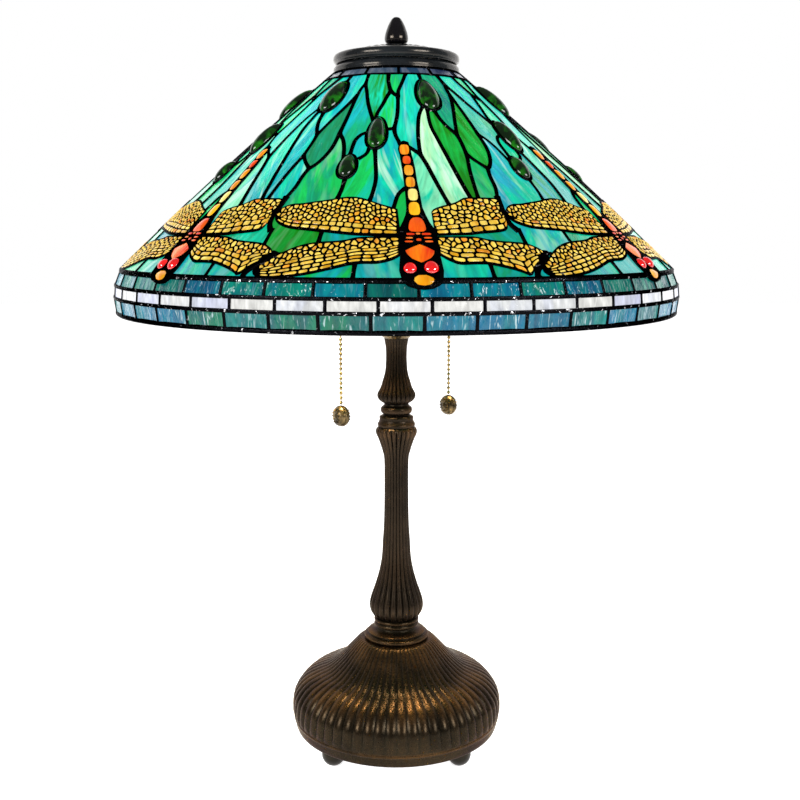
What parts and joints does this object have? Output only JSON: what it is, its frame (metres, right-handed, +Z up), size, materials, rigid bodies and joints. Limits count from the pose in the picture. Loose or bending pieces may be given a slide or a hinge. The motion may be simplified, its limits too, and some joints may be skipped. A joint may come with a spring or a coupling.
{
  "type": "stained glass table lamp",
  "caption": "Table lamp with a leaded-glass cone shade of dragonflies over a flat-faceted belt, pull chains, a turned stem and a fluted round base on ball feet.",
  "frame": {"origin": "on the floor under the lamp's vertical axis", "axes": "+Z up along the stem, -Y towards the viewer, +X to the viewer's right"},
  "size_m": [0.508, 0.5068, 0.6785],
  "materials": {
    "bronze": "dark patinated bronze, satin, copper-gold where rubbed",
    "cap_bronze": "near-black patinated bronze, embossed, glossy",
    "finial_gloss": "black, polished",
    "steel": "plain zinc-plated",
    "iron": "rough casting",
    "brass": "satin brass",
    "antique_brass": "antique brass, worn bright on the high spots",
    "rubber": "matt black",
    "insulator": "cream, semi-gloss",
    "bulb_glass": "frosted warm white",
    "lead": "dark patinated solder with bright glints",
    "teal_glass": "streaky teal, turquoise and green, lit from within",
    "blue_glass": "slate blue, streaky",
    "belt_glass": "rippled teal blue",
    "white_glass": "white and lavender opalescent",
    "amber_glass": "golden yellow under black metal filigree"
  },
  "bodies": {
    "stand": {"base_casting": "bronze", "base_plate": "steel", "base_weight": "iron", "foot_1": "bronze", "foot_2": "bronze", "foot_3": "bronze", "foot_4": "bronze", "cord_grommet": "rubber", "base_collar": "bronze", "stem_bead": "bronze", "stem_lower": "bronze", "stem_ring": "bronze", "stem_upper": "bronze", "stem_pipe": "steel", "pipe_nut": "steel", "cluster_body": "antique_brass", "socket_cap_1": "brass", "socket_cap_2": "brass", "socket_shell_1": "brass", "socket_shell_2": "brass", "switch_block_1": "insulator", "switch_block_2": "insulator", "riser_rod": "brass", "riser_nut": "brass", "shade_support": "brass"},
    "shade": {"shade_ring": "bronze", "border_row": "blue_glass", "cone_panel_1": "teal_glass", "cone_panel_2": "teal_glass", "cone_panel_3": "teal_glass", "cone_panel_4": "teal_glass", "cone_panel_5": "teal_glass", "cone_panel_6": "teal_glass", "cone_panel_7": "teal_glass", "dragonfly_1": "amber_glass", "dragonfly_2": "amber_glass", "dragonfly_3": "amber_glass", "dragonfly_4": "amber_glass", "dragonfly_5": "amber_glass", "dragonfly_6": "amber_glass", "dragonfly_7": "amber_glass", "belt_upper": "belt_glass", "belt_white": "white_glass", "belt_lower": "belt_glass", "rim_came": "lead", "cap": "cap_bronze"},
    "finial_bush": {"finial_insert": "brass"},
    "finial_knob": {"finial": "finial_gloss"},
    "bulb_1": {"bulb_base_1": "steel", "bulb_glass_1": "bulb_glass"},
    "bulb_2": {"bulb_base_2": "steel", "bulb_glass_2": "bulb_glass"},
    "lever_1": {"pull_lever_1": "antique_brass"},
    "lever_2": {"pull_lever_2": "antique_brass"},
    "link_1": {"pull_link_1": "antique_brass"},
    "link_2": {"pull_link_2": "antique_brass"},
    "pull_1": {"pull_chain_1": "antique_brass", "fob_1": "antique_brass"},
    "pull_2": {"pull_chain_2": "antique_brass", "fob_2": "antique_brass"}
  },
  "joints": [
    {"name": "shade_turn", "type": "hinge", "parent": "stand", "child": "shade", "pos_m": [0, 0, 0.6285], "axis": [0, 0, 1], "continuous": true},
    {"name": "finial_lift", "type": "slide", "parent": "stand", "child": "finial_bush", "axis": [0, 0, 1], "range_m": [0, 0.00658]},
    {"name": "finial_turn", "type": "hinge", "parent": "finial_bush", "child": "finial_knob", "pos_m": [0, 0, 0.655], "axis": [0, 0, 1], "range_deg": [0, 2520]},
    {"name": "bulb_turn_1", "type": "hinge", "parent": "stand", "child": "bulb_1", "pos_m": [-0.02544, -0.0159, 0.436], "axis": [-0.29, -0.1812, 0.9397], "continuous": true},
    {"name": "bulb_turn_2", "type": "hinge", "parent": "stand", "child": "bulb_2", "pos_m": [0.02544, 0.0159, 0.436], "axis": [0.29, 0.1812, 0.9397], "continuous": true},
    {"name": "switch_pull_1", "type": "slide", "parent": "stand", "child": "lever_1", "axis": [0, 0, -1], "range_m": [0, 0.008], "stiffness_N_per_m": 800, "springref_m": -0.002},
    {"name": "switch_pull_2", "type": "slide", "parent": "stand", "child": "lever_2", "axis": [0, 0, -1], "range_m": [0, 0.008], "stiffness_N_per_m": 800, "springref_m": -0.002},
    {"name": "chain_swing_1", "type": "hinge", "parent": "lever_1", "child": "link_1", "pos_m": [-0.05029, -0.03142, 0.42255], "axis": [0.5299, -0.848, 0], "range_deg": [-12, 12]},
    {"name": "chain_swing_2", "type": "hinge", "parent": "lever_2", "child": "link_2", "pos_m": [0.05029, 0.03142, 0.42255], "axis": [-0.5299, 0.848, 0], "range_deg": [-12, 12]},
    {"name": "chain_sway_1", "type": "hinge", "parent": "link_1", "child": "pull_1", "pos_m": [-0.05029, -0.03142, 0.41425], "axis": [0.848, 0.5299, 0], "range_deg": [-15, 15]},
    {"name": "chain_sway_2", "type": "hinge", "parent": "link_2", "child": "pull_2", "pos_m": [0.05029, 0.03142, 0.41425], "axis": [0.848, 0.5299, 0], "range_deg": [-15, 15]}
  ],
  "couplings": [
    {"joint": "finial_turn", "follows": "finial_lift", "rad_per_m": 6680}
  ]
}
